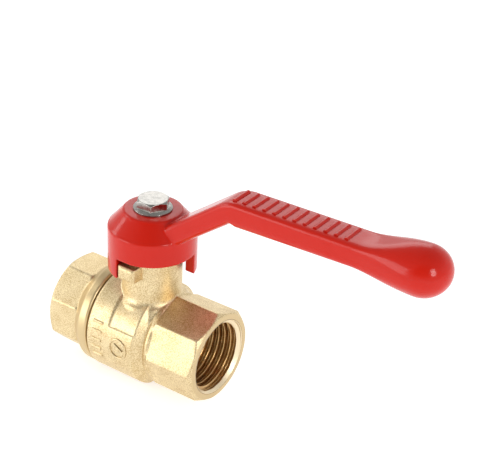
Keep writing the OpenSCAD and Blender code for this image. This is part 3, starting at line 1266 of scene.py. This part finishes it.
    def arm(self) -> Mesh:
        """The arm and its grip, lofted along the centre line."""
        sides = 96
        steps = [self.slope_len * i / 30 for i in range(30)]
        steps += [self.slope_len + self.bend_len * i / 14 for i in range(14)]
        flat = self.slope_len + self.bend_len
        steps += [flat + (self.widest_at - flat) * i / 70 for i in range(70)]
        steps += [self.widest_at + self.tip_len * sin(pi / 2 * i / 24) for i in range(25)]
        points = [p for s in steps for p in self.ring(s, sides)]
        faces: list[list[int]] = [list(range(sides))]
        for j in range(len(steps) - 1):
            for i in range(sides):
                a, k = j * sides, (i + 1) % sides
                faces.append([a + i, a + sides + i, a + sides + k, a + k])
        return mesh_of("arm", points, faces)

    def relief(self, material: Material) -> Obj:
        """Raise the cross ribs on top of the arm with Geometry Nodes.

        Args:
            material: The enamel.

        Returns:
            The relief.
        """
        first = self.first_rib
        pitch = (self.level_len - self.grip_len - self.rib_end - first) / (self.ribs - 1)
        climb = self.climb / (self.swell_at - self.slope_len)
        sizes = {
            "Start": (self.stem_x + self.level_x + first) * MM,
            "Pitch": pitch * MM,
            "Length": (self.arm_w - self.rib_short) * MM,
            "Thickness": self.rib_thick * MM,
            "Level": (self.level + self.arm_t / 2 + climb * (self.bend_len + first)) * MM,
            "Climb": climb,
        }
        tree = GeometryTree("relief_tree", sizes)
        half = tree.size("Length") * 0.5
        path = tree.line(tree.vector(0, half * -1, 0), tree.vector(0, half, 0), 13)
        along = tree.node("SplineParameter") * 2 - 1
        round_end = (1 - along * along * 0.998).root().higher(0.3)
        path = tree.node("SetCurveRadius", Curve=path, Radius=round_end)

        def place(number: Wire) -> Wire:
            """Place of a rib's middle for its number."""
            x = number * tree.size("Pitch")
            z = tree.size("Level") + x * tree.size("Climb") - self.rib_sunk * MM
            return tree.vector(tree.size("Start") + x, 0, z)

        bar = tree.bar(path, tree.size("Thickness"), 20)
        ribs = tree.row(bar, self.ribs, place)
        obj = tree.made("lever_relief", ribs, material)
        shaded(obj.data, 60)
        return obj

    def make(self, finish: Enamel) -> None:
        """Build and dress the lever.

        Args:
            finish: The enamel.
        """
        high = self.level + self.grip_w
        below = [(0, 0), (self.cap_r - self.wall, 0), *self.hollow()[1:]]
        above = [(0, self.top_z), (self.bolt_room, self.top_z), (self.bolt_room, high), (0, high)]
        cutters = [revolved("cutter", outline, self._round_stem) for outline in (below, above)]
        arm = carved(new_object("arm", self.arm()), cutters)
        legs = [self.leg(0, self.shut_edge), self.leg(180, self.open_edge)]
        parts = [arm.data.copy(), self.cap(), *legs]
        bpy.data.objects.remove(arm)
        obj = softened(new_object("lever_casting", joined("lever_casting", parts)), 0.22 * MM, 5)
        shaded(obj.data, 60)
        enamel = finish.build("lever_enamel")
        dressed(obj, enamel, "lever", "lever_paint", ["handle"])
        dressed(self.relief(enamel), enamel, "lever", "lever_paint")


@dataclass
class InnerWorks:
    """The pieces whose CAD shape is kept: ball, seats, stem, packings, gland nut and bolt."""

    finishes: dict[str, Any] = field(
        default_factory=lambda: {
            "ball": PlatedSteel(dark=(0.5, 0.5, 0.5), bright=(0.82, 0.83, 0.84), rough=0.08),
            "inlet_seat": SeatPlastic(),
            "outlet_seat": SeatPlastic(),
            "stem": TurnedBrass(marks=Turned.ACROSS),
            "thrust_washer": SeatPlastic(),
            "lower_packing": SeatPlastic(),
            "upper_packing": SeatPlastic(),
            "gland_nut": TurnedBrass(marks=Turned.ACROSS, rough=0.3),
            "handle_bolt": PlatedSteel(),
        }
    )

    def make(self) -> None:
        """Dress every kept node."""
        for node, finish in self.finishes.items():
            obj = bpy.data.objects[node]
            obj.data.materials.clear()
            obj.data.materials.append(finish.build(node + "_finish"))
            LOG.info("%s: kept from the CAD model", node)


@dataclass
class Studio:
    """Floor, soft lights and the camera.

    Attributes:
        floor_z: Height of the floor in metres.
        aim: Point of the object that the camera is set out from, in metres.
        azimuth, elevation, roll: The camera's angles in degrees.
        away, right, up: The camera's place from the aim along its own axes, in metres.
        lens: Focal length in millimetres.
        glow: How much the lit floor shines by itself.
    """

    floor_z: float
    aim: Point3
    azimuth: float = 33.14
    elevation: float = 29.25
    roll: float = 2.94
    away: float = 362.49 * MM
    right: float = 27.35 * MM
    up: float = 28.47 * MM
    lens: float = 93.6
    glow: float = 0.85

    def floor(self) -> None:
        """Lay the pale floor."""
        half = 4000.0
        z = self.floor_z / MM
        corners = [(-half, -half, z), (half, -half, z), (half, half, z), (-half, half, z)]
        obj = new_object("floor", mesh_of("floor", corners, [[0, 1, 2, 3]]))
        tree = Surface("floor_finish")
        shade = tree.noise(60 * MM, 2.0, 0.5)
        tone = tree.mix((0.70, 0.70, 0.70), (0.72, 0.72, 0.72), shade)
        glow = {"Emission_Color": tone, "Emission_Strength": self.glow}
        obj.data.materials.append(tree.finish(Base_Color=tone, Roughness=0.9, Metallic=0.0, **glow))
        if obj.data.polygons[0].normal.z < 0:
            obj.data.flip_normals()
        obj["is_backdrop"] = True

    def light(self, name: str, place: Point3, size: Point2, power: float) -> None:
        """Hang a soft box that faces the object.

        Args:
            name: The light's name.
            place: Its place from the aim, in millimetres.
            size: Its width and height in millimetres.
            power: Watts.
        """
        lamp = bpy.data.lights.new(name, "AREA")
        lamp.shape = "RECTANGLE"
        lamp.size, lamp.size_y = size[0] * MM, size[1] * MM
        lamp.energy = power
        obj = new_object(name, lamp)
        offset = Vector(place) * MM
        obj.location = Vector(self.aim) + offset
        obj.rotation_euler = offset.to_track_quat("Z", "Y").to_euler()

    def sky(self) -> None:
        """Surround the set with a pale sweep that darkens overhead."""
        world = bpy.data.worlds.new("studio")
        bpy.context.scene.world = world
        world.use_nodes = True
        world.node_tree.nodes.clear()
        kit = NodeKit(world.node_tree)
        east, north, height = kit.split(kit.out("ShaderNodeTexCoord", "Generated"))
        turn = radians(self.azimuth)
        towards = east * sin(turn) - north * cos(turn)
        shade = kit.out("ShaderNodeValToRGB", 0, {"stops": SWEEP}, {0: height * 0.5 + 0.5})
        dim = 1 - 0.65 * towards.step(0.25, 0.75) * height.step(0.05, 0.3)
        back = kit.out("ShaderNodeBackground", 0, None, {"Color": shade, "Strength": dim * 1.05})
        kit.add("ShaderNodeOutputWorld", None, {0: back})

    def camera(self) -> None:
        """Set the camera."""
        e, a, r = (radians(v) for v in (self.elevation, self.azimuth, self.roll))
        back = Vector((sin(a) * cos(e), -cos(a) * cos(e), sin(e)))
        side = Vector((cos(a), sin(a), 0))
        rise = Vector((-sin(a) * sin(e), cos(a) * sin(e), cos(e)))
        c, n = cos(r), sin(r)
        side, rise = side * c + rise * n, rise * c - side * n
        lens = bpy.data.cameras.new("camera")
        lens.lens = self.lens
        lens.sensor_width = 36.0
        lens.sensor_fit = "HORIZONTAL"
        lens.clip_start, lens.clip_end = 0.01, 20.0
        obj = new_object("camera", lens)
        spot = Vector(self.aim) + back * self.away + side * self.right + rise * self.up
        turn = Matrix((side, rise, back)).transposed().to_4x4()
        obj.matrix_world = Matrix.Translation(spot) @ turn
        bpy.context.scene.camera = obj

    def make(self) -> None:
        """Build the set."""
        bpy.context.scene.view_settings.view_transform = "Standard"
        self.floor()
        self.sky()
        self.light("left_box", (-330, -450, 100), (340, 420), 1.3)
        self.light("side_box", (-480, -95, 310), (150, 240), 0.42)
        self.light("right_box", (600, -200, 330), (190, 280), 1.5)
        self.light("back_box", (-260, 460, 320), (420, 260), 0.5)
        self.camera()


def main() -> None:
    """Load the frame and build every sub-assembly."""
    logging.basicConfig(level=logging.INFO, format="%(name)s: %(message)s")
    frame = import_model()
    cad_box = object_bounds()
    stem_x = frame["joints"][0]["pos_m"][0]
    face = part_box("body")[1].x
    joint_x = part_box("body")[0].x
    cap_low, cap_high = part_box("handle")
    blank = ForgedBrass(faces=(face,))
    tones: dict[str, Colour] = {"deep": (0.42, 0.24, 0.085), "pale": (0.80, 0.54, 0.25)}
    cut = TurnedBrass(**tones, rough=0.2, shade=0.35, mouths=(0.0, face))
    thread = cut.build("cut_thread")
    outlet = PipePort("outlet_thread", face, -1)
    ForgedBody("body", "forged_body", "body_brass", outlet, blank).make(thread)
    collar = ForgedBrass(faces=(0.0,), collars=((9.6 * MM, joint_x + 1 * MM),))
    inlet = PipePort("inlet_thread", 0.0, 1)
    connector = ForgedBody("end_connector", "forged_connector", "connector_brass", inlet, collar)
    connector.make(thread)
    CastMarks(14.9 * MM, joint_x + 4.1 * MM, joint_x + 11.6 * MM).make(blank)
    lever = LeverHandle(stem_x / MM, cap_low.z / MM + LeverHandle.leg_drop, cap_high.x / MM)
    lever.make(Enamel())
    InnerWorks().make()
    Studio(cad_box[0][2], (stem_x, 0.0, 0.0)).make()


if __name__ == "__main__":
    main()
